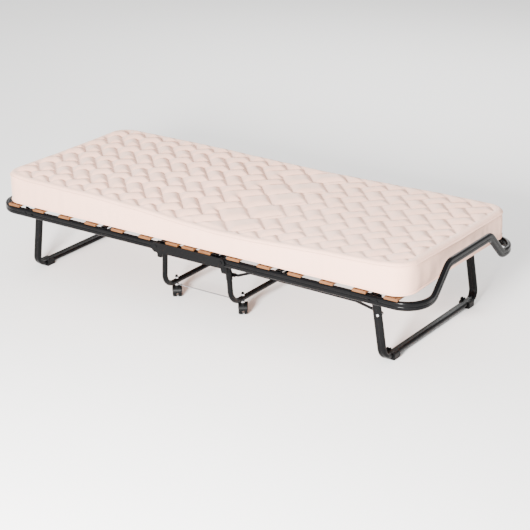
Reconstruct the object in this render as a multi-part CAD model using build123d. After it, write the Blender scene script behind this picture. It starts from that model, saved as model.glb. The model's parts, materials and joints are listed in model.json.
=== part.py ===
from build123d import *
import math
import os

# ---------------------------------------------------------------------------
# Rollaway folding bed. Millimetres, +X to the foot end, +Y to the left side,
# +Z up, origin on the floor under the middle of the bed.
# ---------------------------------------------------------------------------

# Overall frame
FRAME_HALF_LENGTH = 1020.0
FRAME_HALF_WIDTH = 400.0
RAIL_TOP = 283.0
ENDS = {"head": -1, "foot": 1}
SIDES = {"left": 1, "right": -1}

# Grooved flat-oval tube of the rails and the end legs
TUBE_DEEP = 36.0
TUBE_THIN = 18.0
TUBE_WALL = 1.5
GROOVE_DEPTH = 0.9
GROOVE_RADIUS = 5.0
RAIL_Z = RAIL_TOP - TUBE_DEEP / 2
WEB = 3.5
GAP = 0.5
RAIL_Y = FRAME_HALF_WIDTH - WEB - GAP - TUBE_THIN / 2
RAIL_INNER_Y = RAIL_Y - TUBE_THIN / 2
CORNER_RADIUS = 94.0

# Raised mattress stop at the foot end
STOP_Z = 368.0
STOP_RISE_START = 262.0
STOP_RISE_END = 158.0
STOP_BEND = 48.0

# Fold hinges
HINGE_X = 158.0
HINGE_Z = RAIL_Z
PIN_RADIUS = 4.0
RUNNING = 0.05

# Centre section
CHANNEL_HALF = 128.0
CHANNEL_DEPTH = 42.0
FLANGE = 2.5
PLATE = 3.0
PLATE_OUTER_Y = RAIL_INNER_Y - GAP
PLATE_INNER_Y = PLATE_OUTER_Y - PLATE
CHANNEL_LOW = RAIL_TOP - CHANNEL_DEPTH
HINGE_PLATE_OUTLINE = (
    (104, RAIL_TOP), (162, RAIL_TOP), (173, 272), (173, 252), (167, 212),
    (146, 212), (139, CHANNEL_LOW), (104, CHANNEL_LOW),
)
HINGE_PLATE_CORNER = 5.0
HINGE_PIN_HEAD_RADIUS = 7.0
HINGE_PIN_HEAD = 1.5

# Cross members that lie on the rails
CROSS_WIDTH = 26.0
CROSS_HEIGHT = 10.0
CENTRE_CROSS_X = 125.0
END_CROSS_X = 426.0

# Wooden slats
SLAT_WIDTH = 58.0
SLAT_THICK = 10.0
SLAT_BOW = 8.0
CENTRE_PITCH = 80.0
END_FIRST_X = 215.6
END_PITCH = 140.6
END_LAST_X = 911.8
RIVET_HALF_PITCH = 16.0
RIVET_RADIUS = 2.0
RIVET_HEAD_RADIUS = 3.6
RIVET_HEAD = 1.6

# Centre legs
LEG_ROUND = 22.0
SHELF_REACH = 41.0
SHELF_LOW = 250.0
SHELF_HIGH = 256.0
SHELF_HALF = 16.0
LEG_ROUND_Y = PLATE_INNER_Y - 20.0 - LEG_ROUND / 2
CENTRE_LEG_TOP = (154.0, 252.0)
CENTRE_LEG_BASE = (164.0, 74.0)
CENTRE_LEG_BEND = 54.0
COLLAR_DROP = 58.0
COLLAR_HEIGHT = 34.0
COLLAR_WALL = 2.0
LEG_ROUND_WALL = 1.5

# End legs
SPACER = 20.0
SPACER_RADIUS = 9.0
LEG_Y = PLATE_INNER_Y - SPACER - 0.5 - TUBE_THIN / 2
LEG_PIVOT = (818.0, 262.0)
LEG_BASE = (853.0, 18.0)
LEG_BEND = 42.0
CLIP_Y = 282.0
CLIP_LENGTH = 40.0
CLIP_WIDTH = 48.0
BRACKET_RIVET = (LEG_PIVOT[0] + 34.0, 266.0)
BRACKET_RIVET_RADIUS = 3.0
BRACKET_LOW = -TUBE_DEEP - 3.0
BRACKET_OUTLINE = (
    (-18, 0), (-18, -27), (-8, BRACKET_LOW), (30, BRACKET_LOW), (46, BRACKET_LOW + 12),
    (46, 5), (32, 5), (26, 0),
)
BRACKET_CORNER = 3.0
PIVOT_HEAD_RADIUS = 5.5
PIVOT_HEAD = 2.0
PIVOT_WASHER_RADIUS = 6.5
PIVOT_WASHER_GAP = 0.3
PIVOT_WASHER = 2.5
RIVET_FLANGE_RADIUS = 5.0

# Link bar: a parallelogram with the rail, the centre leg and the end leg
LINK_OFFSET = (16.0, -71.0)
LINK_LIFT = 24.0
LINK_RUN_START = 248.0
LINK_RUN_END = 722.0
LINK_HEIGHT = 10.0
LINK_THICK = 4.0
LINK_Y = LEG_ROUND_Y - LEG_ROUND / 2 - 5.5
LINK_PIN_RADIUS = 3.0
OPEN_PIVOT_PLAY = 0.5
LUG_GAP = 0.6
LUG_THICK = 3.6
LUG_HALF = 8.0
LUG_BACK = 23.0
LUG_PIN_HEAD_RADIUS = 5.0
LUG_PIN_HEAD = 1.2
LUG_WASHER_RADIUS = 5.5
LUG_WASHER = 2.0

# Casters
CASTER_Y = 268.0
CASTER_X = CENTRE_LEG_BASE[0]
CASTER_HEADING = 36.0
WHEEL_RADIUS = 24.0
WHEEL_INNER = 4.6
WHEEL_OUTER = 18.5
TRAIL = 14.0
STEM_RADIUS = 4.0
HOOD_CLEARANCE = 1.0
HOOD_SHELL = 2.2
SOCKET_TOP = 56.0
TIE_ROD_Z = 59.9
EYE_RADIUS = 9.0
EYE_THICK = 3.0
TIE_ROD_RADIUS = 2.5

# Mattress
MATTRESS_HALF_LENGTH = 975.0
MATTRESS_HALF_WIDTH = 384.0
MATTRESS_BOTTOM = 301.3
MATTRESS_TOP = 421.0
MATTRESS_CORNER = 80.0
MATTRESS_SPLIT = 197.0
MATTRESS_GAP = 0.3
MATTRESS_EDGE = 12.0


# ---------------------------------------------------------------------------
# Shared shapes
# ---------------------------------------------------------------------------
def cylinder_y(radius, x, z, y_from, y_to):
    """Solid rod along Y between two Y values."""
    rod = Cylinder(radius, abs(y_to - y_from))
    return Pos(x, (y_from + y_to) / 2, z) * Rot(90, 0, 0) * rod


def cylinder_z(radius, x, y, z_from, z_to):
    """Solid rod along Z between two Z values."""
    return Pos(x, y, (z_from + z_to) / 2) * Cylinder(radius, z_to - z_from)


def box_between(low, high):
    """Box from its lowest to its highest corner."""
    size = [b - a for a, b in zip(low, high)]
    middle = [(a + b) / 2 for a, b in zip(low, high)]
    return Pos(*middle) * Box(*size)


def to_end(shape, end):
    """Foot-end shape as it is, or mirrored to the head end."""
    if ENDS[end] > 0:
        return shape
    return mirror(shape, about=Plane.YZ)


def grooved_section():
    """Hollow flat-oval section with a shallow groove down both wide faces."""
    offset = TUBE_THIN / 2 + GROOVE_RADIUS - GROOVE_DEPTH
    outer = RectangleRounded(TUBE_THIN, TUBE_DEEP, TUBE_THIN / 2 - 0.2)
    outer -= Pos(offset, 0) * Circle(GROOVE_RADIUS)
    outer -= Pos(-offset, 0) * Circle(GROOVE_RADIUS)
    bore_thin = TUBE_THIN - 2 * TUBE_WALL - 2 * GROOVE_DEPTH
    bore_deep = TUBE_DEEP - 2 * TUBE_WALL
    return outer - RectangleRounded(bore_thin, bore_deep, bore_thin / 2 - 0.2)


def bull_nose(x, z, toward):
    """Cutter that rounds a rail end about a pivot, on one X side of it."""
    radius = TUBE_DEEP / 2
    reach = sorted((x, x + toward * 2 * radius))
    slab = box_between(
        (reach[0], -FRAME_HALF_WIDTH, z - 2 * radius),
        (reach[1], FRAME_HALF_WIDTH, z + 2 * radius),
    )
    return slab - cylinder_y(radius, x, z, -FRAME_HALF_WIDTH, FRAME_HALF_WIDTH)


# ---------------------------------------------------------------------------
# End sections
# ---------------------------------------------------------------------------
def slat_places(group):
    """X positions of one section's slats, counted outwards from the middle."""
    if group == "centre":
        return [-CENTRE_PITCH, 0.0, CENTRE_PITCH]
    inner = [END_FIRST_X + END_PITCH * k for k in range(5)]
    return [ENDS[group] * x for x in inner + [END_LAST_X]]


def rivet_places(group):
    """X and Y of every slat rivet of one section."""
    places = []
    for x in slat_places(group):
        for dx in (-RIVET_HALF_PITCH, RIVET_HALF_PITCH):
            for y in (-RAIL_Y, RAIL_Y):
                places.append((x + dx, y))
    return places


def rail_path(raised):
    """Centre line of a U-shaped end frame, with or without the raised stop."""
    end_x = FRAME_HALF_LENGTH - TUBE_THIN / 2
    start_x = HINGE_X - TUBE_DEEP / 2
    half = [(start_x, -RAIL_Y, RAIL_Z), (end_x, -RAIL_Y, RAIL_Z)]
    radii = [CORNER_RADIUS]
    if raised:
        half += [(end_x, -STOP_RISE_START, RAIL_Z), (end_x, -STOP_RISE_END, STOP_Z)]
        radii += [STOP_BEND, STOP_BEND]
    other = [(x, -y, z) for x, y, z in reversed(half)]
    return FilletPolyline(*half, *other, radius=radii + radii[::-1])


def frame_tube(end):
    """One bent tube: two side rails joined round the end of the bed."""
    path = rail_path(raised=(end == "foot"))
    start = path @ 0
    plane = Plane(origin=start, x_dir=(0, 1, 0), z_dir=(1, 0, 0))
    tube = sweep(plane * grooved_section(), path=path)
    tube -= bull_nose(HINGE_X, HINGE_Z, -1)
    for side in SIDES.values():
        outer = side * FRAME_HALF_WIDTH
        inner = side * (RAIL_INNER_Y - 1)
        tube -= cylinder_y(PIN_RADIUS + RUNNING, HINGE_X, HINGE_Z, outer, inner)
        tube -= cylinder_y(PIN_RADIUS, *LEG_PIVOT, outer, inner)
        tube -= cylinder_y(BRACKET_RIVET_RADIUS, *BRACKET_RIVET, outer, inner)
    for x, y in rivet_places("foot"):
        tube -= cylinder_z(RIVET_RADIUS, x, y, RAIL_TOP - 2 * TUBE_WALL, RAIL_TOP + 1)
    return to_end(tube, end)


def cross_member(x):
    """Flat-oval steel tube lying across the rails."""
    outer = RectangleRounded(CROSS_WIDTH, CROSS_HEIGHT, CROSS_HEIGHT / 2 - 0.2)
    bore = RectangleRounded(
        CROSS_WIDTH - 2 * TUBE_WALL,
        CROSS_HEIGHT - 2 * TUBE_WALL,
        CROSS_HEIGHT / 2 - TUBE_WALL - 0.2,
    )
    length = 2 * (RAIL_Y + TUBE_THIN / 2)
    plane = Plane(origin=(x, -length / 2, RAIL_TOP + CROSS_HEIGHT / 2), x_dir=(1, 0, 0), z_dir=(0, 1, 0))
    return extrude(plane * (outer - bore), amount=length)


def slat(x):
    """Sprung wooden slat, bowed upwards, with a rivet hole near each corner."""
    half = FRAME_HALF_WIDTH - WEB - GAP
    middle_z = RAIL_TOP + SLAT_THICK / 2
    arch = ThreePointArc(
        (x, -half, middle_z), (x, 0, middle_z + SLAT_BOW), (x, half, middle_z)
    )
    tangent = arch % 0
    plane = Plane(origin=arch @ 0, x_dir=(1, 0, 0), z_dir=tangent)
    board = sweep(plane * RectangleRounded(SLAT_WIDTH, SLAT_THICK, 2.5), path=arch)
    for dx in (-RIVET_HALF_PITCH, RIVET_HALF_PITCH):
        for y in (-RAIL_Y, RAIL_Y):
            board -= cylinder_z(RIVET_RADIUS, x + dx, y, RAIL_TOP - 5, RAIL_TOP + 2 * SLAT_THICK)
    return board


def slat_rivets(group):
    """Domed rivets that hold one section's slats on its rails."""
    rivets = []
    head_z = RAIL_TOP + SLAT_THICK + 0.6
    for x, y in rivet_places(group):
        shank = cylinder_z(RIVET_RADIUS, x, y, RAIL_TOP - TUBE_WALL, head_z)
        head = cylinder_z(RIVET_HEAD_RADIUS, x, y, head_z, head_z + RIVET_HEAD)
        head = fillet(head.edges().group_by(Axis.Z)[-1], RIVET_HEAD * 0.8)
        rivets.append(shank + head)
    return rivets


# ---------------------------------------------------------------------------
# End legs and their brackets
# ---------------------------------------------------------------------------
LEG_LEAN = math.degrees(math.atan2(LEG_BASE[0] - LEG_PIVOT[0], LEG_PIVOT[1] - LEG_BASE[1]))
LEG_REACH = math.hypot(LEG_BASE[0] - LEG_PIVOT[0], LEG_PIVOT[1] - LEG_BASE[1])
LEG_PLACE = Pos(LEG_PIVOT[0], 0, LEG_PIVOT[1]) * Rot(0, -LEG_LEAN, 0)
LINK_LEG_PIN = (LEG_PIVOT[0] + LINK_OFFSET[0], LEG_PIVOT[1] + LINK_OFFSET[1])
LINK_LUG_PIN = (HINGE_X + LINK_OFFSET[0], HINGE_Z + LINK_OFFSET[1])
LINK_SIDE = {"head": 1, "foot": -1}


def leg_blank(section, grow=0.0):
    """End-leg tube in its leaning place, from any section."""
    top = TUBE_DEEP / 2
    path = FilletPolyline(
        (0, -LEG_Y, top),
        (0, -LEG_Y, -LEG_REACH),
        (0, LEG_Y, -LEG_REACH),
        (0, LEG_Y, top),
        radius=LEG_BEND,
    )
    plane = Plane(origin=path @ 0, x_dir=(0, 1, 0), z_dir=(0, 0, -1))
    tube = sweep(plane * section, path=path)
    nose = Rot(0, 90, 0) * bull_nose(0, 0, -1)
    return LEG_PLACE * (tube - nose)


def end_leg(end):
    """U-shaped end leg with its pivot holes and the link hole on one side."""
    leg = leg_blank(grooved_section())
    leg -= cylinder_y(PIN_RADIUS + RUNNING, *LEG_PIVOT, -FRAME_HALF_WIDTH, FRAME_HALF_WIDTH)
    side = LINK_SIDE[end]
    leg -= cylinder_y(LINK_PIN_RADIUS, *LINK_LEG_PIN, side * (LEG_Y - 20), side * (LEG_Y + 20))
    return to_end(leg, end)


def leg_brackets(end):
    """Pressed plates riveted inside the rails, one each side."""
    x, z = LEG_PIVOT
    outline = [(x + dx, RAIL_TOP + dz) for dx, dz in BRACKET_OUTLINE]
    face = fillet(make_face(Polyline(*outline, close=True)).vertices(), BRACKET_CORNER)
    plates = []
    for side in SIDES.values():
        plane = Plane(origin=(0, side * PLATE_OUTER_Y, 0), x_dir=(1, 0, 0), z_dir=(0, -1, 0))
        plate = extrude(plane * face, amount=PLATE * side)
        plate -= cylinder_y(PIN_RADIUS, x, z, side * (PLATE_OUTER_Y + 1), side * (PLATE_INNER_Y - 1))
        plate -= cylinder_y(
            BRACKET_RIVET_RADIUS, *BRACKET_RIVET, side * (PLATE_OUTER_Y + 1), side * (PLATE_INNER_Y - 1)
        )
        plates.append(to_end(plate, end))
    return plates


def leg_pivot_pins(end):
    """Leg pivots and the rivets that hold the leg brackets."""
    pins = []
    rail_outer = RAIL_Y + TUBE_THIN / 2
    leg_inner = LEG_Y - TUBE_THIN / 2
    for side in SIDES.values():
        pin_inner = side * (leg_inner - PIVOT_WASHER)
        pin = cylinder_y(PIN_RADIUS, *LEG_PIVOT, side * (rail_outer + 1.5), pin_inner)
        head_top = side * (rail_outer + PIVOT_HEAD)
        pin += cylinder_y(PIVOT_HEAD_RADIUS, *LEG_PIVOT, head_top, side * rail_outer)
        pin += cylinder_y(SPACER_RADIUS, *LEG_PIVOT, side * PLATE_INNER_Y, side * (PLATE_INNER_Y - SPACER))
        washer_outer = side * (leg_inner - PIVOT_WASHER_GAP)
        pin += cylinder_y(PIVOT_WASHER_RADIUS, *LEG_PIVOT, washer_outer, pin_inner)
        rivet = cylinder_y(
            BRACKET_RIVET_RADIUS, *BRACKET_RIVET, side * (rail_outer + 1), side * (PLATE_INNER_Y - 0.5)
        )
        rivet_top = side * (rail_outer + 1.5)
        rivet += cylinder_y(RIVET_FLANGE_RADIUS, *BRACKET_RIVET, rivet_top, side * rail_outer)
        rivet_end = side * (PLATE_INNER_Y - 1)
        rivet += cylinder_y(RIVET_FLANGE_RADIUS, *BRACKET_RIVET, side * PLATE_INNER_Y, rivet_end)
        pins += [to_end(pin, end), to_end(rivet, end)]
    return pins


def foot_clips(end):
    """Plastic pads snapped round the floor bar of an end leg."""
    solid_tube = leg_blank(RectangleRounded(TUBE_THIN, TUBE_DEEP, TUBE_THIN / 2 - 0.2))
    x, z = LEG_BASE
    clips = []
    for side in SIDES.values():
        y = side * CLIP_Y
        block = box_between(
            (x - CLIP_WIDTH / 2, y - CLIP_LENGTH / 2, 0),
            (x + CLIP_WIDTH / 2, y + CLIP_LENGTH / 2, z + TUBE_THIN / 2 + 2.5),
        )
        block = fillet(block.edges().filter_by(Axis.Y), 6)
        block = chamfer(block.faces().filter_by(Axis.Y).edges(), 1)
        slot = Pos(x, y, z) * Rot(0, -LEG_LEAN, 0) * Box(CLIP_WIDTH - 16, 2 * CLIP_LENGTH, 5)
        slot = Pos(0, 0, TUBE_THIN / 2 + 2.5) * slot
        ear = box_between((x - CLIP_WIDTH / 2, y - 9, z), (x - CLIP_WIDTH / 2 + 5, y + 9, z + 18))
        ear = fillet(ear.edges().filter_by(Axis.X), 3)
        clips.append(to_end(block + ear - slot - solid_tube, end))
    return clips


# ---------------------------------------------------------------------------
# Link bars
# ---------------------------------------------------------------------------
def link_bar(end):
    """Flat dog-legged bar that keeps the end leg parallel to the centre legs."""
    run_z = LINK_LUG_PIN[1] + LINK_LIFT
    centre_line = FilletPolyline(
        (LINK_LUG_PIN[0], LINK_LUG_PIN[1], 0),
        (LINK_LUG_PIN[0] + 14, LINK_LUG_PIN[1], 0),
        (LINK_RUN_START, run_z, 0),
        (LINK_RUN_END, run_z - 4, 0),
        (LINK_LEG_PIN[0], LINK_LEG_PIN[1], 0),
        radius=12,
    )
    plane = Plane(origin=centre_line @ 0, x_dir=(0, 1, 0), z_dir=centre_line % 0)
    bar = sweep(plane * Rectangle(LINK_HEIGHT, LINK_THICK), path=centre_line)
    bar = Rot(90, 0, 0) * bar
    side = LINK_SIDE[end]
    for x, z in (LINK_LUG_PIN, LINK_LEG_PIN):
        bar += cylinder_y(7, x, z, -LINK_THICK / 2, LINK_THICK / 2)
    bar -= cylinder_y(LINK_PIN_RADIUS + RUNNING, *LINK_LUG_PIN, -LINK_THICK, LINK_THICK)
    bar -= cylinder_y(LINK_PIN_RADIUS + OPEN_PIVOT_PLAY, *LINK_LEG_PIN, -LINK_THICK, LINK_THICK)
    return to_end(Pos(0, side * LINK_Y, 0) * bar, end)


def link_leg_rivet(end):
    """Bright shouldered rivet between the end leg and the link bar."""
    side = LINK_SIDE[end]
    leg_outer = LEG_Y + TUBE_THIN / 2
    leg_inner = LEG_Y - TUBE_THIN / 2
    bar_outer = LINK_Y + LINK_THICK / 2 + 0.3
    bar_inner = LINK_Y - LINK_THICK / 2 - 0.3
    pin = cylinder_y(LINK_PIN_RADIUS, *LINK_LEG_PIN, side * (leg_outer + 0.5), side * (bar_inner - 1))
    pin += cylinder_y(5, *LINK_LEG_PIN, side * (leg_outer + 1.2), side * leg_outer)
    pin += cylinder_y(5.5, *LINK_LEG_PIN, side * leg_inner, side * bar_outer)
    pin += cylinder_y(5.5, *LINK_LEG_PIN, side * bar_inner, side * (bar_inner - 2))
    return to_end(pin, end)


# ---------------------------------------------------------------------------
# Centre section
# ---------------------------------------------------------------------------
CENTRE_LEG_LEAN = math.degrees(
    math.atan2(CENTRE_LEG_BASE[0] - CENTRE_LEG_TOP[0], CENTRE_LEG_TOP[1] - CENTRE_LEG_BASE[1])
)
CENTRE_LEG_REACH = math.hypot(
    CENTRE_LEG_BASE[0] - CENTRE_LEG_TOP[0], CENTRE_LEG_TOP[1] - CENTRE_LEG_BASE[1]
)
CENTRE_LEG_PLACE = Pos(CENTRE_LEG_TOP[0], 0, CENTRE_LEG_TOP[1]) * Rot(0, -CENTRE_LEG_LEAN, 0)


def side_channel(side):
    """Pressed channel between the hinges; its web runs on as hinge ears."""
    low = CHANNEL_LOW
    sign = SIDES[side]
    outer = sign * FRAME_HALF_WIDTH
    web_inner = sign * (FRAME_HALF_WIDTH - WEB)
    lip = sign * PLATE_OUTER_Y
    web_face = SlotCenterToCenter(2 * HINGE_X, CHANNEL_DEPTH)
    plane = Plane(origin=(0, outer, low + CHANNEL_DEPTH / 2), x_dir=(1, 0, 0), z_dir=(0, -1, 0))
    channel = extrude(plane * web_face, amount=WEB * sign)
    y_low, y_high = sorted((web_inner, lip))
    for z in (low, RAIL_TOP - FLANGE):
        channel += box_between((-CHANNEL_HALF, y_low, z), (CHANNEL_HALF, y_high, z + FLANGE))
    for x in (-HINGE_X, HINGE_X):
        channel -= cylinder_y(PIN_RADIUS, x, HINGE_Z, outer + sign, lip)
    for x, y in rivet_places("centre"):
        if y * sign > 0:
            channel -= cylinder_z(RIVET_RADIUS, x, y, RAIL_TOP - 2 * FLANGE, RAIL_TOP + 1)
    return channel


def hinge_plates(end):
    """Inner hinge plates that carry the centre leg, one each side."""
    face = fillet(make_face(Polyline(*HINGE_PLATE_OUTLINE, close=True)).vertices(), HINGE_PLATE_CORNER)
    leg_top = centre_leg_blank(Circle(LEG_ROUND / 2))
    plates = []
    for side in SIDES.values():
        plane = Plane(origin=(0, side * PLATE_OUTER_Y, 0), x_dir=(1, 0, 0), z_dir=(0, -1, 0))
        plate = extrude(plane * face, amount=PLATE * side)
        plate -= cylinder_y(
            PIN_RADIUS, HINGE_X, HINGE_Z, side * (PLATE_OUTER_Y + 1), side * (PLATE_INNER_Y - 1)
        )
        low_y, high_y = sorted((side * PLATE_INNER_Y, side * (PLATE_INNER_Y - SHELF_REACH)))
        plate += box_between(
            (CENTRE_LEG_TOP[0] - SHELF_HALF, low_y, SHELF_LOW),
            (CENTRE_LEG_TOP[0] + SHELF_HALF, high_y, SHELF_HIGH),
        )
        plates.append(to_end(plate - leg_top, end))
    return plates


def hinge_pins():
    """Four riveted hinge pins with a domed head on the outer face."""
    pins = []
    for x in (-HINGE_X, HINGE_X):
        for side in SIDES.values():
            outer = side * FRAME_HALF_WIDTH
            inner = side * PLATE_INNER_Y
            pin = cylinder_y(PIN_RADIUS, x, HINGE_Z, outer + side * 0.5, inner - side * 1)
            head_top = outer + side * HINGE_PIN_HEAD
            head = cylinder_y(HINGE_PIN_HEAD_RADIUS, x, HINGE_Z, head_top, outer)
            pins.append(pin + head)
    return pins


def centre_leg_blank(section):
    """Round-tube centre leg in its leaning place, from any section."""
    path = FilletPolyline(
        (0, -LEG_ROUND_Y, 0),
        (0, -LEG_ROUND_Y, -CENTRE_LEG_REACH),
        (0, LEG_ROUND_Y, -CENTRE_LEG_REACH),
        (0, LEG_ROUND_Y, 0),
        radius=CENTRE_LEG_BEND,
    )
    plane = Plane(origin=path @ 0, x_dir=(0, 1, 0), z_dir=(0, 0, -1))
    return CENTRE_LEG_PLACE * sweep(plane * section, path=path)


def centre_leg(end):
    """U-shaped centre leg drilled for its two caster stems."""
    radius = LEG_ROUND / 2
    leg = centre_leg_blank(Circle(radius) - Circle(radius - LEG_ROUND_WALL))
    base_z = CENTRE_LEG_BASE[1]
    for side in SIDES.values():
        leg -= cylinder_z(STEM_RADIUS, CASTER_X, side * CASTER_Y, base_z - LEG_ROUND, base_z + LEG_ROUND)
    return to_end(leg, end)


def link_lugs():
    """Collars on the centre legs, each with an ear for its link bar."""
    lugs = []
    radius = LEG_ROUND / 2
    x, z = LINK_LUG_PIN
    near = LINK_Y + LINK_THICK / 2 + LUG_GAP
    far = near + LUG_THICK
    for end, side in LINK_SIDE.items():
        place = CENTRE_LEG_PLACE * Pos(0, side * LEG_ROUND_Y, -COLLAR_DROP)
        y_near, y_far = side * near, side * far
        low, high = sorted((y_near, side * (LEG_ROUND_Y - radius + 3)))
        lug = place * Cylinder(radius + COLLAR_WALL, COLLAR_HEIGHT)
        lug += box_between((x - LUG_BACK, low, z - LUG_HALF), (x - LUG_HALF, high, z + LUG_HALF))
        low, high = sorted((y_near, y_far))
        lug += box_between((x - LUG_BACK, low, z - LUG_HALF), (x, high, z + LUG_HALF))
        lug += cylinder_y(LUG_HALF, x, z, low, high)
        lug -= cylinder_y(LINK_PIN_RADIUS, x, z, low - 1, high + 1)
        lug -= place * Cylinder(radius, 3 * COLLAR_HEIGHT)
        lugs.append(to_end(lug, end))
    return lugs


def link_lug_pins():
    """Pivot pins of the link bars on the centre-leg lugs."""
    pins = []
    near = LINK_Y + LINK_THICK / 2 + LUG_GAP
    far = near + LUG_THICK
    bar_inner = LINK_Y - LINK_THICK / 2 - 0.3
    for end, side in LINK_SIDE.items():
        pin = cylinder_y(LINK_PIN_RADIUS, *LINK_LUG_PIN, side * (far + 0.5), side * (bar_inner - 1))
        head_top = side * (far + LUG_PIN_HEAD)
        pin += cylinder_y(LUG_PIN_HEAD_RADIUS, *LINK_LUG_PIN, head_top, side * far)
        washer_end = side * (bar_inner - LUG_WASHER)
        pin += cylinder_y(LUG_WASHER_RADIUS, *LINK_LUG_PIN, side * bar_inner, washer_end)
        pins.append(to_end(pin, end))
    return pins


def tie_rod(side):
    """Thin steel rod between two caster stems, with a flat eye at each end."""
    y = SIDES[side] * CASTER_Y
    reach = CASTER_X - EYE_RADIUS + 1
    rod = Pos(0, y, TIE_ROD_Z) * Rot(0, 90, 0) * Cylinder(TIE_ROD_RADIUS, 2 * reach)
    half = EYE_THICK / 2
    for x in (-CASTER_X, CASTER_X):
        rod += cylinder_z(EYE_RADIUS, x, y, TIE_ROD_Z - half, TIE_ROD_Z + half)
    for x in (-CASTER_X, CASTER_X):
        rod -= cylinder_z(STEM_RADIUS + RUNNING, x, y, TIE_ROD_Z - EYE_RADIUS, TIE_ROD_Z + EYE_RADIUS)
    return rod


# ---------------------------------------------------------------------------
# Casters
# ---------------------------------------------------------------------------
def caster_corners():
    """Name and stem position of each caster."""
    corners = {}
    for end, x_sign in ENDS.items():
        for side, y_sign in SIDES.items():
            corners[end + "_" + side] = (x_sign * CASTER_X, y_sign * CASTER_Y)
    return corners


def caster_place(corner):
    """From the caster's own frame (axle along X, trailing along +Y) to its stem."""
    x, y = caster_corners()[corner]
    return Pos(x, y, 0) * Rot(0, 0, CASTER_HEADING)


def axle_rod(radius, x_from, x_to):
    """Solid rod on the wheel axle, in the caster's own frame."""
    middle = (x_from + x_to) / 2
    return Pos(middle, TRAIL, WHEEL_RADIUS) * Rot(0, 90, 0) * Cylinder(radius, abs(x_to - x_from))


def caster_hood(corner):
    """Moulded hood: middle web, arched shell over both wheels, stem socket."""
    inner = WHEEL_RADIUS + HOOD_CLEARANCE
    outer = inner + HOOD_SHELL
    half_web = WHEEL_INNER - 0.5
    width = WHEEL_OUTER + 0.8
    above = Pos(0, TRAIL, WHEEL_RADIUS + 9 + outer) * Box(4 * width, 4 * outer, 2 * outer)
    middle = Pos(0, TRAIL, WHEEL_RADIUS - 2 + outer) * Box(4 * width, 4 * outer, 2 * outer)
    shell = (axle_rod(outer, -width, width) - axle_rod(inner, -width, width)) & above
    shell = fillet(shell.edges().filter_by(GeomType.CIRCLE).group_by(SortBy.RADIUS)[-1], 1.0)
    web = axle_rod(inner + 1, -half_web, half_web) & middle
    web += axle_rod(10, -half_web, half_web)
    socket = cylinder_z(7.5, 0, 0, WHEEL_RADIUS + 8, SOCKET_TOP)
    for sign in (-1, 1):
        socket -= axle_rod(inner, sign * half_web, sign * 2 * WHEEL_OUTER)
    hood = web + socket + shell
    hood -= cylinder_z(STEM_RADIUS + RUNNING, 0, 0, SOCKET_TOP - 13, SOCKET_TOP + 1)
    hood -= axle_rod(3 + RUNNING, -WHEEL_OUTER, WHEEL_OUTER)
    return caster_place(corner) * hood


def caster_wheels(corner):
    """Twin wheels pressed on one steel axle."""
    pieces = []
    for sign in (-1, 1):
        wheel = axle_rod(WHEEL_RADIUS, sign * WHEEL_INNER, sign * WHEEL_OUTER)
        rims = wheel.edges().filter_by(GeomType.CIRCLE).sort_by(Axis.X)
        outer_rim = rims[-1] if sign > 0 else rims[0]
        wheel = fillet(outer_rim, 5)
        wheel -= axle_rod(15, sign * (WHEEL_OUTER - 1.2), sign * (WHEEL_OUTER + 1))
        wheel += axle_rod(6, sign * (WHEEL_OUTER - 2), sign * (WHEEL_OUTER - 0.2))
        wheel -= axle_rod(3, sign * (WHEEL_INNER - 1), sign * (WHEEL_OUTER - 3))
        pieces.append(caster_place(corner) * wheel)
    axle = axle_rod(3, -(WHEEL_OUTER - 3), WHEEL_OUTER - 3)
    pieces.append(caster_place(corner) * axle)
    return pieces


def caster_stems():
    """Bright stems through the centre-leg bars, each with its hexagon nut."""
    pieces = []
    bar_low = CENTRE_LEG_BASE[1] - LEG_ROUND / 2
    bar_high = CENTRE_LEG_BASE[1] + LEG_ROUND / 2
    eye_low = TIE_ROD_Z - EYE_THICK / 2
    eye_high = TIE_ROD_Z + EYE_THICK / 2
    for x, y in caster_corners().values():
        stem = cylinder_z(STEM_RADIUS, x, y, SOCKET_TOP - 12, bar_high + 12)
        stem += cylinder_z(EYE_RADIUS - 1.5, x, y, SOCKET_TOP + 0.3, eye_low - 0.1)
        stem += cylinder_z(EYE_RADIUS - 2.5, x, y, eye_high, bar_low)
        nut = extrude(Pos(x, y, bar_high + 0.1) * RegularPolygon(7.5, 6), amount=6)
        nut -= cylinder_z(STEM_RADIUS, x, y, bar_high - 1, bar_high + 8)
        pieces += [stem, nut]
    return pieces


def caster_caps():
    """Plastic domes over the stem ends."""
    caps = []
    low = CENTRE_LEG_BASE[1] + LEG_ROUND / 2 + 6.3
    for x, y in caster_corners().values():
        cap = cylinder_z(6, x, y, low, low + 8.5)
        cap = fillet(cap.edges().group_by(Axis.Z)[-1], 4.5)
        cap -= cylinder_z(STEM_RADIUS, x, y, low - 1, low + 6)
        caps.append(cap)
    return caps


# ---------------------------------------------------------------------------
# Mattress
# ---------------------------------------------------------------------------
def mattress_end(end):
    """Mattress over one end section: rounded corners at the bed's end."""
    block = box_between(
        (MATTRESS_SPLIT, -MATTRESS_HALF_WIDTH, MATTRESS_BOTTOM),
        (MATTRESS_HALF_LENGTH, MATTRESS_HALF_WIDTH, MATTRESS_TOP),
    )
    corners = block.edges().filter_by(Axis.Z).group_by(Axis.X)[-1]
    block = fillet(corners, MATTRESS_CORNER)
    rim = block.faces().group_by(Axis.Z)[-1].edges() + block.faces().group_by(Axis.Z)[0].edges()
    rim = [e for e in rim if e.center().X > MATTRESS_SPLIT + 1]
    block = fillet(rim, MATTRESS_EDGE)
    return to_end(block, end)


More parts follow.
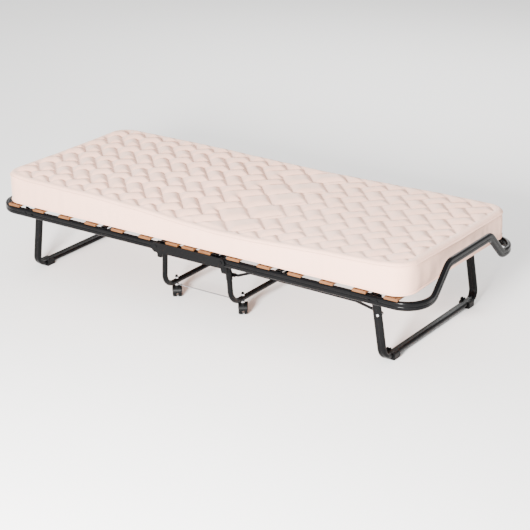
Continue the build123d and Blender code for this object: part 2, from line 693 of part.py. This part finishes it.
def mattress_centre():
    """Mattress over the centre section, which bends when the bed folds."""
    half = MATTRESS_SPLIT - MATTRESS_GAP
    block = box_between(
        (-half, -MATTRESS_HALF_WIDTH, MATTRESS_BOTTOM), (half, MATTRESS_HALF_WIDTH, MATTRESS_TOP)
    )
    return fillet(block.edges().filter_by(Axis.X), MATTRESS_EDGE)


# ---------------------------------------------------------------------------
# Output, one file per node
# ---------------------------------------------------------------------------
def write(name, shape):
    """Write one node: a single solid, or a list of separate solids."""
    pieces = shape if isinstance(shape, list) else [shape]
    solids = [solid for piece in pieces for solid in piece.solids()]
    node = solids[0] if len(solids) == 1 else Compound(children=solids)
    node.label = name
    export_step(node, os.path.join("parts", name + ".step"))


os.makedirs("parts", exist_ok=True)

for end_name in ENDS:
    write(end_name + "_frame_tube", frame_tube(end_name))
    write(end_name + "_cross_member", cross_member(ENDS[end_name] * END_CROSS_X))
    write("centre_cross_member_" + end_name, cross_member(ENDS[end_name] * CENTRE_CROSS_X))
    write(end_name + "_leg", end_leg(end_name))
    write(end_name + "_leg_brackets", leg_brackets(end_name))
    write(end_name + "_leg_pivot_pins", leg_pivot_pins(end_name))
    write(end_name + "_foot_clips", foot_clips(end_name))
    write(end_name + "_link_bar", link_bar(end_name))
    write(end_name + "_link_rivet", link_leg_rivet(end_name))
    write("hinge_plates_" + end_name, hinge_plates(end_name))
    write("centre_leg_" + end_name, centre_leg(end_name))
    write("mattress_" + end_name, mattress_end(end_name))

for group in ("head", "centre", "foot"):
    write(group + "_slat_rivets", slat_rivets(group))
    for number, slat_x in enumerate(slat_places(group), start=1):
        write(group + "_slat_" + str(number), slat(slat_x))

for side_name in SIDES:
    write("side_channel_" + side_name, side_channel(side_name))
    write("tie_rod_" + side_name, tie_rod(side_name))

for corner_name in caster_corners():
    write("caster_hood_" + corner_name, caster_hood(corner_name))
    write("caster_wheels_" + corner_name, caster_wheels(corner_name))

write("hinge_pins", hinge_pins())
write("link_lugs", link_lugs())
write("link_lug_pins", link_lug_pins())
write("caster_stems", caster_stems())
write("caster_caps", caster_caps())
write("mattress_centre", mattress_centre())
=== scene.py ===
import json
import math

import bpy
import numpy as np
from mathutils import Matrix, Vector, noise


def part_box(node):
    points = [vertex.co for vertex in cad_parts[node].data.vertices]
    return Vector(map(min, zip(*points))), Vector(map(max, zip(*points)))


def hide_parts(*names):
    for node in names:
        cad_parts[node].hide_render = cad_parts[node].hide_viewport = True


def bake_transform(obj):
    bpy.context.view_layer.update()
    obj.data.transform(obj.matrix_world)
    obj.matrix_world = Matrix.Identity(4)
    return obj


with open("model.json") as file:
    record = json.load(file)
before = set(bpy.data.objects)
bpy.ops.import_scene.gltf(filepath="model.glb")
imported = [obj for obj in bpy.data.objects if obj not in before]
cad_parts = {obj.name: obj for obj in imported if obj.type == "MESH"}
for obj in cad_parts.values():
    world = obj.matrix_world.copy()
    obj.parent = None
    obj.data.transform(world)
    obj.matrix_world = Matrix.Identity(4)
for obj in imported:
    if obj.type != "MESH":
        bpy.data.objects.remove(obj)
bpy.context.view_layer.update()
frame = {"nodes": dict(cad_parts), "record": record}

# ---------------------------------------------------------------------------
# Places read from the frame, in metres
# ---------------------------------------------------------------------------
FOOT_LOW, FOOT_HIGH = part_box("mattress_foot")
SLAT_LOW, SLAT_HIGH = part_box("centre_slat_2")
HALF_LENGTH = FOOT_HIGH[0]
CLOTH_BULGE = 0.006
HALF_WIDTH = FOOT_HIGH[1] + CLOTH_BULGE
TOP = FOOT_HIGH[2]
SLAT_HALF = SLAT_HIGH[1]
SLAT_BOW = 0.008
SLAT_TOP_END = SLAT_HIGH[2] - SLAT_BOW
BED_CENTRE = Vector((0.0, 0.0, 0.21))


# ---------------------------------------------------------------------------
# Camera, lights, floor
# ---------------------------------------------------------------------------
def make_camera():
    """The photograph's viewing angle: above the near side, towards the head."""
    azimuth = 35.74
    elevation = 21.95
    roll = -1.09
    data = bpy.data.cameras.new("camera")
    data.sensor_width = 36.0
    data.lens = 111.2
    data.clip_end = 60.0
    camera = bpy.data.objects.new("camera", data)
    bpy.context.scene.collection.objects.link(camera)
    a, e, r = (math.radians(angle) for angle in (azimuth, elevation, roll))
    forward = Vector((-math.sin(a) * math.cos(e), math.cos(a) * math.cos(e), -math.sin(e)))
    level = Vector((math.cos(a), math.sin(a), 0.0))
    up = level.cross(forward)
    right = math.cos(r) * level + math.sin(r) * up
    up = -math.sin(r) * level + math.cos(r) * up
    turn = Matrix((right, up, -forward)).transposed()
    camera.matrix_world = Matrix.Translation((3.672, -4.990, 2.581)) @ turn.to_4x4()
    bpy.context.scene.camera = camera


def area_light(name, place, size, power, colour=(1.0, 1.0, 1.0)):
    """Soft rectangular light aimed at the bed."""
    data = bpy.data.lights.new(name, "AREA")
    data.shape = "RECTANGLE"
    data.size, data.size_y = size
    data.energy = power
    data.color = colour
    light = bpy.data.objects.new(name, data)
    light.location = place
    light.rotation_euler = (BED_CENTRE - Vector(place)).to_track_quat("-Z", "Y").to_euler()
    bpy.context.scene.collection.objects.link(light)


def make_studio():
    """White sky and two soft lights."""
    world = bpy.data.worlds.new("studio")
    bpy.context.scene.world = world
    world.use_nodes = True
    sky = world.node_tree.nodes["Background"]
    sky.inputs["Color"].default_value = (1.0, 0.995, 0.99, 1.0)
    sky.inputs["Strength"].default_value = 1.25
    area_light("key", (1.5, -4.7, 1.8), (1.0, 0.8), 1300.0, (1.0, 0.985, 0.97))
    area_light("rim", (-1.0, 3.8, 2.6), (4.0, 1.2), 130.0)


def make_floor():
    """Plain pale floor under the whole bed."""
    half = 14.0
    mesh = bpy.data.meshes.new("floor")
    corners = [(-half, -half, 0), (half, -half, 0), (half, half, 0), (-half, half, 0)]
    mesh.from_pydata(corners, [], [(0, 1, 2, 3)])
    floor = bpy.data.objects.new("floor", mesh)
    bpy.context.scene.collection.objects.link(floor)
    material = bpy.data.materials.new("floor")
    material.use_nodes = True
    shader = material.node_tree.nodes["Principled BSDF"]
    shader.inputs["Base Color"].default_value = (0.98, 0.975, 0.965, 1.0)
    shader.inputs["Roughness"].default_value = 0.9
    shader.inputs["Specular IOR Level"].default_value = 0.1
    mesh.materials.append(material)


# ---------------------------------------------------------------------------
# Materials
# ---------------------------------------------------------------------------
class Finish:
    """A procedural material built node by node on object coordinates."""

    def __init__(self, name, roughness=0.5, metallic=0.0, **sockets):
        self.material = bpy.data.materials.new(name)
        self.material.use_nodes = True
        self.nodes = self.material.node_tree.nodes
        self.links = self.material.node_tree.links
        self.shader = self.nodes["Principled BSDF"]
        self.shader.inputs["Roughness"].default_value = roughness
        self.shader.inputs["Metallic"].default_value = metallic
        for socket, value in sockets.items():
            self.shader.inputs[socket.replace("_", " ")].default_value = value
        self.coordinates = self.nodes.new("ShaderNodeTexCoord").outputs["Object"]

    def noise(self, scale, detail=3.0, rough=0.5, stretch=None):
        """Noise factor at a scale per metre, stretched along an axis if asked."""
        texture = self.nodes.new("ShaderNodeTexNoise")
        texture.inputs["Scale"].default_value = scale
        texture.inputs["Detail"].default_value = detail
        texture.inputs["Roughness"].default_value = rough
        self.links.new(self.stretched(stretch), texture.inputs["Vector"])
        return texture.outputs["Fac"]

    def wave(self, scale, stretch=None, distortion=0.0, bands="X", detail=1.0):
        """Band pattern along one axis."""
        texture = self.nodes.new("ShaderNodeTexWave")
        texture.bands_direction = bands
        texture.inputs["Scale"].default_value = scale
        texture.inputs["Distortion"].default_value = distortion
        texture.inputs["Detail"].default_value = detail
        self.links.new(self.stretched(stretch), texture.inputs["Vector"])
        return texture.outputs["Fac"]

    def stretched(self, stretch):
        if stretch is None:
            return self.coordinates
        mapping = self.nodes.new("ShaderNodeMapping")
        mapping.inputs["Scale"].default_value = stretch
        self.links.new(self.coordinates, mapping.inputs["Vector"])
        return mapping.outputs["Vector"]

    def ramp(self, factor, stops):
        """Colour ramp from (position, colour) stops."""
        node = self.nodes.new("ShaderNodeValToRGB")
        ends = node.color_ramp.elements
        ends[0].position, ends[0].color = stops[0][0], (*stops[0][1], 1.0)
        ends[1].position, ends[1].color = stops[-1][0], (*stops[-1][1], 1.0)
        for position, colour in stops[1:-1]:
            ends.new(position).color = (*colour, 1.0)
        self.links.new(factor, node.inputs["Fac"])
        return node.outputs["Color"]

    def spread(self, factor, low, high):
        """Map a 0 to 1 factor to a range."""
        node = self.nodes.new("ShaderNodeMapRange")
        node.inputs["To Min"].default_value = low
        node.inputs["To Max"].default_value = high
        self.links.new(factor, node.inputs["Value"])
        return node.outputs["Result"]

    def mix(self, factor, a, b, mode="MIX"):
        """Blend two colours, each a socket or a plain colour."""
        node = self.nodes.new("ShaderNodeMix")
        node.data_type = "RGBA"
        node.blend_type = mode
        for socket, value in ((node.inputs["Factor"], factor), (node.inputs[6], a), (node.inputs[7], b)):
            if isinstance(value, bpy.types.NodeSocket):
                self.links.new(value, socket)
            else:
                socket.default_value = (*value, 1.0) if isinstance(value, tuple) else value
        return node.outputs[2]

    def bump(self, height, distance, strength=1.0):
        """Add a bump on top of any bump already on the shader."""
        node = self.nodes.new("ShaderNodeBump")
        node.inputs["Distance"].default_value = distance
        node.inputs["Strength"].default_value = strength
        self.links.new(height, node.inputs["Height"])
        normal = self.shader.inputs["Normal"]
        if normal.is_linked:
            self.links.new(normal.links[0].from_socket, node.inputs["Normal"])
        self.links.new(node.outputs["Normal"], normal)

    def colour(self, socket):
        self.links.new(socket, self.shader.inputs["Base Color"])

    def roughness(self, socket):
        self.links.new(socket, self.shader.inputs["Roughness"])


def black_enamel():
    """Satin black powder coat with faint orange peel and dusty variation."""
    f = Finish(
        "black_enamel", roughness=0.26, Specular_IOR_Level=0.10, Coat_Weight=0.02, Coat_Roughness=0.12
    )
    cloud = f.noise(7.0, 4.0)
    f.colour(f.ramp(cloud, [(0.3, (0.0010, 0.0010, 0.0012)), (0.7, (0.0022, 0.0022, 0.0026))]))
    f.roughness(f.spread(f.noise(40.0, 3.0), 0.22, 0.27))
    f.bump(f.noise(900.0, 2.0), 0.00006, 0.4)
    return f.material


def slat_wood():
    """Pale laminated beech: grain along the slat, plies seen at its ends."""
    f = Finish("slat_wood", roughness=0.5, Specular_IOR_Level=0.35)
    grain = f.noise(26.0, 6.0, 0.6, stretch=(1.0, 0.06, 1.0))
    tones = [(0.25, (0.105, 0.037, 0.009)), (0.5, (0.155, 0.060, 0.016)), (0.8, (0.21, 0.088, 0.026))]
    base = f.ramp(grain, tones)
    plies = f.wave(160.0, bands="Z", distortion=0.6, stretch=(0.2, 0.02, 1.0))
    f.colour(f.mix(f.spread(plies, 0.0, 0.35), base, (0.060, 0.021, 0.006)))
    f.roughness(f.spread(grain, 0.42, 0.60))
    f.bump(f.noise(320.0, 3.0, stretch=(1.0, 0.04, 1.0)), 0.0002, 0.5)
    return f.material


def zinc_plate():
    """Bright zinc plating with light streaks."""
    f = Finish("zinc_plate", roughness=0.22, metallic=1.0)
    streak = f.noise(120.0, 3.0, stretch=(1.0, 1.0, 0.2))
    f.colour(f.ramp(streak, [(0.2, (0.66, 0.67, 0.70)), (0.8, (0.86, 0.86, 0.88))]))
    f.roughness(f.spread(streak, 0.16, 0.32))
    return f.material


def rod_steel():
    """Drawn steel rod, slightly dull."""
    f = Finish("rod_steel", roughness=0.35, metallic=1.0)
    drawn = f.noise(300.0, 3.0, stretch=(0.05, 1.0, 1.0))
    f.colour(f.ramp(drawn, [(0.2, (0.34, 0.34, 0.36)), (0.8, (0.56, 0.56, 0.58))]))
    f.roughness(f.spread(drawn, 0.28, 0.45))
    f.bump(drawn, 0.0001, 0.4)
    return f.material


def moulded_black(name, rough, grain):
    """Black moulded plastic with a fine spark-eroded texture."""
    f = Finish(name, roughness=rough, Specular_IOR_Level=0.10)
    f.colour(f.ramp(f.noise(30.0, 3.0), [(0.3, (0.0014, 0.0014, 0.0016)), (0.7, (0.0030, 0.0030, 0.0033))]))
    f.roughness(f.spread(f.noise(grain / 3.0, 2.0), rough - 0.08, rough + 0.08))
    f.bump(f.noise(grain, 2.0), 0.00018, 0.6)
    return f.material


def knitted_ticking():
    """Cream knitted cover: fine loops, soft sheen, painted warm shade along the quilting seams."""
    f = Finish(
        "knitted_ticking",
        roughness=0.86,
        Specular_IOR_Level=0.22,
        Sheen_Weight=0.35,
        Sheen_Roughness=0.5,
        Sheen_Tint=(1.0, 0.95, 0.92, 1.0),
    )
    cloud = f.noise(3.5, 3.0)
    base = f.ramp(cloud, [(0.3, (0.80, 0.475, 0.35)), (0.7, (0.84, 0.51, 0.385))])
    # Painted shade: the cover colour is blended toward a darker warm brown along the quilting seams,
    # standing in for shade in the creases.
    crease_shade_input = f.nodes.new("ShaderNodeAttribute")
    crease_shade_input.attribute_name = "seam_shade"
    shade = f.mix(crease_shade_input.outputs["Fac"], base, (0.50, 0.30, 0.22))
    speck = f.noise(700.0, 2.0)
    f.colour(f.mix(f.spread(speck, 0.0, 0.10), shade, (0.58, 0.38, 0.31)))
    rows = f.wave(330.0, bands="X", distortion=1.5)
    courses = f.wave(330.0, bands="Y", distortion=1.5)
    f.bump(f.mix(0.5, rows, courses), 0.00022, 0.45)
    f.bump(f.noise(180.0, 3.0), 0.0006, 0.35)
    return f.material


def dress_frame(finishes):
    """Give every CAD node the finish of its material slot."""
    for part in frame["record"]["subparts"]:
        node = frame["nodes"][part["node"]]
        finish = finishes[part["material_slot"]]
        if not node.material_slots:
            node.data.materials.append(finish)
        for holder in node.material_slots:
            holder.material = finish


# ---------------------------------------------------------------------------
# Mattress: plan, quilting lines and heights
# ---------------------------------------------------------------------------
CORNER = 0.080
STEP = 0.005
BRICK_LONG = 0.1032
BRICK_SHORT = 0.0670
ROW_PERIOD = BRICK_LONG * math.sqrt(2.0)
COLUMN_PITCH = BRICK_SHORT * math.sqrt(2.0)
ROW_PHASE = 0.083
FOOT_FIRST = 0.218
HEAD_FIRST = -0.080
DIAMOND_EDGES = (0.011, 0.0965, 0.181)
QUILT_DEPTH = 0.021
QUILT_REACH = 0.036
FOOT_FLATTER = 0.42
SMOOTH_RIM = 0.020
RIM_RAMP = 0.022
PUCKER_PITCH = 0.0145
PUCKER_HEIGHT = 0.0016
# Reach and strength of the painted shade along the quilting seams.
SEAM_SHADE_WIDTH = 0.0030
SEAM_SHADE_STRENGTH = 0.45
TOP_DROP = 0.007
CROWN = 0.003
CORNER_LIFT = 0.008
SAG_PLACE = 0.16
SAG_SPREAD = 0.42
SAG = 0.010
NEAR_SAG = 0.020
SLAT_CLEARANCE = 0.0008


def rows():
    """Y offsets of the quilting rows across the mattress."""
    return [ROW_PHASE + ROW_PERIOD * k for k in range(-5, 5)]


def herringbone(first, direction, limit):
    """Stitch lines of the herringbone, stepping away from the first column."""
    tail = BRICK_SHORT / math.sqrt(2.0)
    arm = BRICK_LONG / math.sqrt(2.0)
    lines = []
    x = first
    while (limit - x) * direction > -arm:
        for y in rows():
            lines.append(((x - tail, y + tail), (x + arm, y - arm)))
            lines.append(((x, y), (x + arm + tail, y + arm + tail)))
        x += direction * COLUMN_PITCH
    return lines


def diamond_columns():
    """Zigzag lines that bound the two columns of diamonds near the middle."""
    arm = ROW_PERIOD / 2
    lines = []
    for number, x in enumerate(DIAMOND_EDGES):
        for y in rows():
            tip = y + (arm if number == 1 else 0.0)
            lines.append(((x, tip), (x + arm, tip + arm)))
            if number < 2:
                lines.append(((x, tip), (x + arm, tip - arm)))
    return lines


def stitch_lines():
    """All quilting stitch lines, each trimmed to its own zone of the top."""
    left_edge, _, right_edge = DIAMOND_EDGES
    lines = []
    for (ax, ay), (bx, by) in herringbone(FOOT_FIRST, 1.0, HALF_LENGTH):
        lines.append(((ax, ay), (bx, by), right_edge, 1.0))
    for (ax, ay), (bx, by) in herringbone(HEAD_FIRST, -1.0, -HALF_LENGTH):
        lines.append(((ax, ay), (bx, by), left_edge, -1.0))
    for a, b in diamond_columns():
        lines.append((a, b, 0.0, 0.0))
    return lines


def zigzag(x, y, edge):
    """How far a point lies to the foot side of a diamond column's zigzag edge."""
    arm = ROW_PERIOD / 2
    phase = np.abs((y - ROW_PHASE + arm) % ROW_PERIOD - arm)
    return x - (edge + phase)


def seam_distance(x, y):
    """Distance to the nearest stitch line, and the place along that line."""
    nearest = np.full(x.shape, 1.0)
    along = np.zeros(x.shape)
    for (ax, ay), (bx, by), edge, zone in stitch_lines():
        reach = 0.05
        near = (x > min(ax, bx) - reach) & (x < max(ax, bx) + reach)
        near &= (y > min(ay, by) - reach) & (y < max(ay, by) + reach)
        if zone:
            near &= zigzag(x, y, edge) * zone > -0.001
        if not near.any():
            continue
        px, py = x[near], y[near]
        dx, dy = bx - ax, by - ay
        length = math.hypot(dx, dy)
        t = np.clip(((px - ax) * dx + (py - ay) * dy) / length**2, 0.0, 1.0)
        distance = np.hypot(px - ax - t * dx, py - ay - t * dy)
        closer = distance < nearest[near]
        nearest[near] = np.where(closer, distance, nearest[near])
        along[near] = np.where(closer, t * length + 7.3 * ax + 3.1 * ay, along[near])
    return nearest, along


def smooth(t):
    t = np.clip(t, 0.0, 1.0)
    return t * t * (3 - 2 * t)


def rough_field(points, scale, seed):
    """Smooth noise at each point, repeatable from run to run."""
    offset = Vector((seed * 17.3, seed * 5.1, seed * 9.7))
    return np.array([noise.noise(Vector(p) * scale + offset) for p in points])


def half_span(x):
    """Half width of the plan outline at a given X: straight, then a corner arc."""
    over = np.clip(np.abs(x) - (HALF_LENGTH - CORNER), 0.0, CORNER)
    return HALF_WIDTH - CORNER + np.sqrt(CORNER**2 - over**2)


def edge_sag(x, y):
    """Drop of the top near the middle, deeper on the near side."""
    along = np.exp(-(((x - SAG_PLACE) / SAG_SPREAD) ** 2))
    near_side = smooth((0.10 - y) / 0.48)
    return along * (SAG + NEAR_SAG * near_side)


def bottom_height(y):
    """Underside of the mattress, resting on the bowed slats."""
    return SLAT_TOP_END + SLAT_BOW * (1 - (y / SLAT_HALF) ** 2) + SLAT_CLEARANCE


def edge_distance(x, y):
    """Distance inwards from the plan outline."""
    over_x = np.abs(x) - (HALF_LENGTH - CORNER)
    over_y = np.abs(y) - (HALF_WIDTH - CORNER)
    in_corner = (over_x > 0) & (over_y > 0)
    straight = np.minimum(HALF_LENGTH - np.abs(x), HALF_WIDTH - np.abs(y))
    return np.where(in_corner, CORNER - np.hypot(over_x, over_y), straight)


# ---------------------------------------------------------------------------
# Mattress: mesh of one half
# ---------------------------------------------------------------------------
TOP_ROLL = 0.014
BOTTOM_ROLL = 0.005
SIDE_BULGE = 0.004
TOP_INSET = TOP_ROLL + SIDE_BULGE
BOTTOM_INSET = BOTTOM_ROLL + SIDE_BULGE
ARC_STEPS = 18
ROW_COUNT = 150
SIDE_STEPS = 20
ROLL_STEPS = 5
PIPING_RADIUS = 0.0036


def plan_columns(sign):
    """Straight columns from the middle, then columns round the corner arc."""
    straight = HALF_LENGTH - CORNER
    count = round(straight / STEP)
    xs = [straight * k / count for k in range(count + 1)]
    angles = [0.0] * (count + 1) + [math.pi / 2 * k / ARC_STEPS for k in range(1, ARC_STEPS + 1)]
    xs += [straight] * ARC_STEPS
    return np.array(xs) * sign, np.array(angles)


def grid_points(sign, inset):
    """Plan positions of the top or bottom grid, shape (columns, rows)."""
    xs, angles = plan_columns(sign)
    radius = CORNER - inset
    x = xs + sign * radius * np.sin(angles)
    half = HALF_WIDTH - CORNER + radius * np.cos(angles)
    v = np.linspace(-1.0, 1.0, ROW_COUNT + 1)
    return np.repeat(x[:, None], ROW_COUNT + 1, axis=1), half[:, None] * v[None, :]


def border_order(columns, rows_count):
    """Grid indices round the open border: near side, end, far side."""
    near = [(c, 0) for c in range(columns)]
    end = [(columns - 1, r) for r in range(1, rows_count)]
    far = [(c, rows_count - 1) for c in range(columns - 1, -1, -1)]
    return near + end + far


def border_normals(sign, order, columns, rows_count):
    """Outward plan normal at each border point."""
    _, angles = plan_columns(sign)
    normals = []
    for c, r in order:
        if c == columns - 1 and 0 < r < rows_count - 1:
            normals.append((sign, 0.0))
        else:
            side = -1.0 if r == 0 else 1.0
            normals.append((sign * math.sin(angles[c]), side * math.cos(angles[c])))
    return np.array(normals)


def top_height(x, y):
    """Height of the quilted top and the weight of painted shade close to each stitch line."""
    distance, along = seam_distance(x, y)
    edge = edge_distance(x, y)
    fade = smooth((edge - SMOOTH_RIM) / RIM_RAMP)
    flat = np.stack([x.ravel(), y.ravel(), np.zeros(x.size)], axis=1)
    patch = rough_field(flat, 9.0, 1).reshape(x.shape)
    fine = rough_field(flat, 55.0, 2).reshape(x.shape)
    q = np.clip(distance / QUILT_REACH, 0.0, 1.0)
    puff = (1 - (1 - q) ** 2) ** 0.9
    ripple = np.sin(2 * math.pi * along / PUCKER_PITCH + 2.5 * fine)
    pucker = ripple * np.exp(-distance / 0.010) * (1 - np.exp(-distance / 0.003))
    depth = QUILT_DEPTH * (1 - FOOT_FLATTER * smooth((x + 0.15) / 0.75))
    quilt = depth * puff * (1 + 0.16 * patch) + PUCKER_HEIGHT * pucker * (0.5 + 0.8 * np.abs(patch))
    level = depth * 0.5
    crown = CROWN * smooth(edge / 0.25)
    corner_lift = CORNER_LIFT * smooth((np.abs(x) - 0.80) / 0.14) * smooth((0.05 - y) / 0.4)
    z = TOP - TOP_DROP + crown + corner_lift - edge_sag(x, y)
    z = z + fade * (quilt - level) + 0.0016 * patch + 0.0008 * fine
    # Painted seam shade: weight that darkens the cover colour next to each stitch line, where the creases
    # fall into shade.
    seam_shade = SEAM_SHADE_STRENGTH * fade * np.exp(-distance / SEAM_SHADE_WIDTH)
    return z, seam_shade


def side_rings(top_z, low_z):
    """Inset, height and cloth phase of each ring from the top roll to the bottom."""
    rings = []
    for k in range(1, ROLL_STEPS + 1):
        turn = math.pi / 2 * k / ROLL_STEPS
        rings.append((TOP_INSET - TOP_ROLL * math.sin(turn), top_z - TOP_ROLL * (1 - math.cos(turn))))
    for k in range(1, SIDE_STEPS):
        t = k / SIDE_STEPS
        z = (top_z - TOP_ROLL) * (1 - t) + (low_z + BOTTOM_ROLL) * t
        rings.append((SIDE_BULGE * (1 - math.sin(math.pi * t) ** 0.7), z))
    for k in range(ROLL_STEPS):
        turn = math.pi / 2 * k / ROLL_STEPS
        inset = SIDE_BULGE + BOTTOM_ROLL * (1 - math.cos(turn))
        rings.append((inset, low_z + BOTTOM_ROLL * (1 - math.sin(turn))))
    return rings


def mattress_half(name, sign):
    """One half of the mattress as a closed quilted form."""
    top_x, top_y = grid_points(sign, TOP_INSET)
    top_z, seam_shade = top_height(top_x, top_y)
    low_x, low_y = grid_points(sign, BOTTOM_INSET)
    low_z = bottom_height(low_y)
    columns, rows_count = top_x.shape
    order = border_order(columns, rows_count)
    normals = border_normals(sign, order, columns, rows_count)
    edge = np.array([(top_x[o], top_y[o], top_z[o]) for o in order])
    base = np.array([low_z[o] for o in order])
    outline = edge[:, :2] + normals * TOP_INSET

    points = [np.stack([top_x, top_y, top_z], axis=2).reshape(-1, 3)]
    shades = [seam_shade.ravel()]
    rings = side_rings(edge[:, 2], base)
    for number, (inset, z) in enumerate(rings):
        middle = math.sin(math.pi * (number + 1) / (len(rings) + 1)) ** 2
        place = outline - normals * inset
        samples = np.column_stack([place, np.full(len(place), 0.3) + 0.4 * z])
        slow = rough_field(samples, 7.0, 3)
        pleat = rough_field(samples * np.array([1.0, 1.0, 0.35]), 34.0, 4)
        place = place - normals * (middle * (0.0018 + 0.0024 * slow + 0.0018 * pleat))[:, None]
        points.append(np.column_stack([place, z]))
        shades.append(np.zeros(len(place)))
    points.append(np.stack([low_x, low_y, low_z], axis=2).reshape(-1, 3))
    shades.append(np.zeros(low_x.size))

    grid = np.arange(columns * rows_count).reshape(columns, rows_count)
    count = len(order)
    ring_start = columns * rows_count
    ring_ids = [np.array([grid[o] for o in order])]
    ring_ids += [ring_start + k * count + np.arange(count) for k in range(len(rings))]
    low_start = ring_start + len(rings) * count
    ring_ids.append(low_start + ring_ids[0])
    faces = []
    for c in range(columns - 1):
        for r in range(rows_count - 1):
            quad = (grid[c, r], grid[c + 1, r], grid[c + 1, r + 1], grid[c, r + 1])
            faces.append(quad)
            faces.append(tuple(low_start + i for i in reversed(quad)))
    for upper, lower in zip(ring_ids, ring_ids[1:]):
        for k in range(count - 1):
            faces.append((upper[k], lower[k], lower[k + 1], upper[k + 1]))
    if sign < 0:
        faces = [tuple(reversed(face)) for face in faces]

    cap = list(grid[0, :]) + [ids[-1] for ids in ring_ids[1:-1]]
    cap += [low_start + i for i in grid[0, ::-1]] + [ids[0] for ids in ring_ids[-2:0:-1]]
    everything = np.concatenate(points)
    cap_points = everything[cap] + np.array([sign * 0.0004, 0.0, 0.0])
    cap_face = tuple(range(len(everything), len(everything) + len(cap)))
    faces.append(cap_face if sign > 0 else cap_face[::-1])
    everything = np.concatenate([everything, cap_points])
    shades.append(np.zeros(len(cap)))

    mesh = bpy.data.meshes.new(name)
    mesh.from_pydata([tuple(p) for p in everything], [], [tuple(int(i) for i in f) for f in faces])
    # The painted seam shade is stored on the mesh as a point attribute that the cover material reads.
    attribute = mesh.attributes.new("seam_shade", "FLOAT", "POINT")
    attribute.data.foreach_set("value", np.concatenate(shades).astype(np.float32))
    mesh.polygons.foreach_set("use_smooth", [True] * len(mesh.polygons))
    mesh.update()
    piece = bpy.data.objects.new(name, mesh)
    bpy.context.scene.collection.objects.link(piece)
    top_line = np.column_stack([outline - normals * SIDE_BULGE, edge[:, 2] - TOP_ROLL])
    low_line = np.column_stack([outline - normals * SIDE_BULGE, base + BOTTOM_ROLL])
    return piece, top_line, low_line, normals


def piping(name, line, normals):
    """Corded edge tape swept round one border of a mattress half."""
    around = 8
    count = len(line)
    points = []
    for k in range(around):
        turn = 2 * math.pi * k / around
        out = normals * (PIPING_RADIUS * math.cos(turn))
        up = np.full(count, PIPING_RADIUS * math.sin(turn))
        points.append(np.column_stack([line[:, :2] + out, line[:, 2] + up]))
    vertices = np.concatenate(points)
    faces = []
    for k in range(around):
        a, b = k * count, ((k + 1) % around) * count
        for i in range(count - 1):
            faces.append((a + i, a + i + 1, b + i + 1, b + i))
    faces.append(tuple(k * count for k in range(around)))
    faces.append(tuple((around - 1 - k) * count + count - 1 for k in range(around)))
    mesh = bpy.data.meshes.new(name)
    mesh.from_pydata([tuple(p) for p in vertices], [], faces)
    mesh.polygons.foreach_set("use_smooth", [True] * len(mesh.polygons))
    mesh.update()
    piece = bpy.data.objects.new(name, mesh)
    bpy.context.scene.collection.objects.link(piece)
    return piece


def make_mattress(cloth):
    """Two halves that meet over the middle of the bed, each with its edge tape."""
    for end, sign in (("head", -1.0), ("foot", 1.0)):
        half, top_line, low_line, normals = mattress_half(f"mattress_{end}_half", sign)
        pieces = [half]
        pieces.append(piping(f"mattress_{end}_top_tape", top_line, normals))
        pieces.append(piping(f"mattress_{end}_bottom_tape", low_line, normals))
        for piece in pieces:
            piece.data.materials.append(cloth)
            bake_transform(piece)
        if sign < 0:
            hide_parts("mattress_head", "mattress_centre")
        else:
            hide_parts("mattress_foot")


# ---------------------------------------------------------------------------
# Build
# ---------------------------------------------------------------------------
make_camera()
make_studio()
make_floor()
enamel = black_enamel()
zinc = zinc_plate()
caster_black = moulded_black("caster_black", 0.38, 900.0)
dress_frame({
    "frame_black": enamel,
    "black_rivet": enamel,
    "slat_rivet": enamel,
    "slat_wood": slat_wood(),
    "zinc": zinc,
    "rod_steel": rod_steel(),
    "foot_plastic": moulded_black("clip_black", 0.42, 700.0),
    "caster_plastic": caster_black,
    "caster_wheel": moulded_black("wheel_black", 0.5, 1100.0),
    "mattress_cloth": enamel,
})
make_mattress(knitted_ticking())
